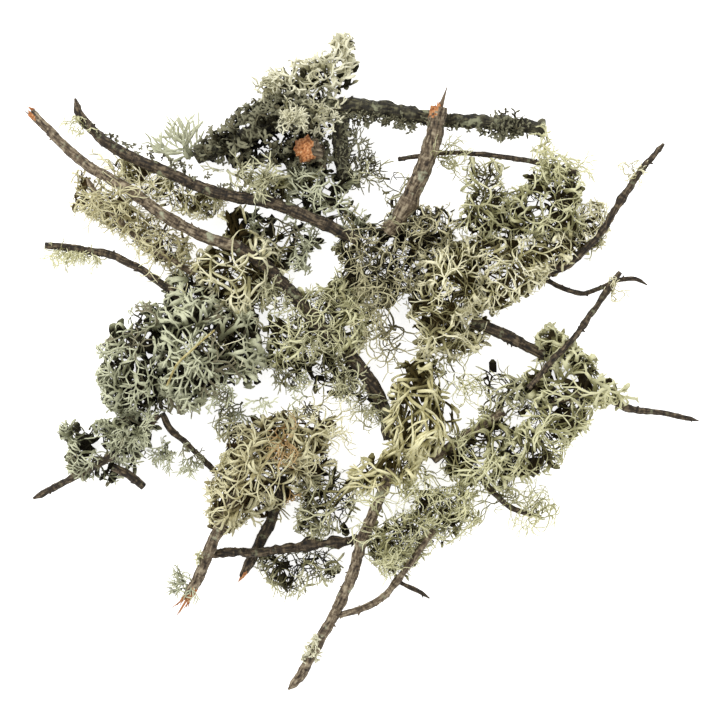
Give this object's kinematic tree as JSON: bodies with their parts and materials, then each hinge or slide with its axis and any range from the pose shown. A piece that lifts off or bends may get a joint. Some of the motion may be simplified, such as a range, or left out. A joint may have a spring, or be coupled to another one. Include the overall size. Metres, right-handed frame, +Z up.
{
  "type": "tangle of lichen-covered twigs",
  "caption": "Flat-lying tangle of dry twigs hooked together by tufts of strap, antler and leafy lichen, with bare twig ends reaching out all round.",
  "frame": {"origin": "on the ground, under the middle of the tangle's bounding box", "axes": "+X to the right and +Y away from the reader when it is looked at from above with the long bare bottom twig nearest, +Z up from the ground"},
  "size_m": [0.3358, 0.3306, 0.0506],
  "materials": {
    "grey_bark": "grey-brown dry bark with fine cross cracks, matt",
    "dark_bark": "dark brown crusted bark, matt",
    "broken_wood": "fresh splintered orange wood",
    "straw": "dry straw stem, satin",
    "oakmoss_lichen": "pale yellow-green strap lichen, dry and matt",
    "antler_lichen": "blue-grey antler lichen with black undersides, matt",
    "leafy_lichen": "small leafy lichen, olive to brown-black with pale lobes, matt",
    "wiry_lichen": "wiry brown-grey lichen with pale tips, matt"
  },
  "bodies": {
    "root": {"long_twig": "grey_bark", "spine_twig": "grey_bark", "side_twig": "dark_bark", "second_twig": "grey_bark", "left_twig": "dark_bark", "top_bar": "dark_bark", "hanging_stub": "dark_bark", "broken_knot": "broken_wood", "thick_stub": "grey_bark", "thin_bar": "dark_bark", "upper_right_twig": "grey_bark", "curved_twig": "dark_bark", "diagonal_twig": "dark_bark", "far_right_twig": "dark_bark", "lower_right_twig": "dark_bark", "bottom_twig": "grey_bark", "bottom_side_twig": "grey_bark", "bottom_twiglet": "dark_bark", "broken_twig": "grey_bark", "cross_twig": "grey_bark", "dark_twig": "dark_bark", "lower_left_twig": "dark_bark", "lower_left_stub": "dark_bark", "thin_dark_twig": "dark_bark", "right_centre_twig": "dark_bark", "centre_right_twig": "dark_bark", "grass_stem": "straw", "top_plume": "leafy_lichen", "leafy_crust": "leafy_lichen", "upper_antler_clump": "antler_lichen", "folded_clump": "oakmoss_lichen", "inner_antler_clump": "antler_lichen", "pale_strap_clump": "oakmoss_lichen", "wispy_clump": "oakmoss_lichen", "fringe_clump": "oakmoss_lichen", "blue_mass": "antler_lichen", "left_antler_clump": "antler_lichen", "dark_tail": "leafy_lichen", "lower_left_clump": "antler_lichen", "wiry_clump": "wiry_lichen", "centre_clump": "oakmoss_lichen", "spine_fuzz": "wiry_lichen", "oakmoss_fan": "oakmoss_lichen", "dark_green_clump": "oakmoss_lichen", "lower_fringe": "oakmoss_lichen", "net_clump": "oakmoss_lichen", "yellow_strap_clump": "oakmoss_lichen", "strap_tail": "oakmoss_lichen", "arch_clump": "oakmoss_lichen", "middle_right_clump": "oakmoss_lichen", "right_clump": "oakmoss_lichen", "curtain_clump": "oakmoss_lichen", "top_right_clump": "oakmoss_lichen", "twig_fringe": "oakmoss_lichen", "right_lobes": "oakmoss_lichen", "grey_clump": "antler_lichen", "lower_right_clump": "oakmoss_lichen", "dark_right_clump": "oakmoss_lichen"}
  },
  "joints": []
}
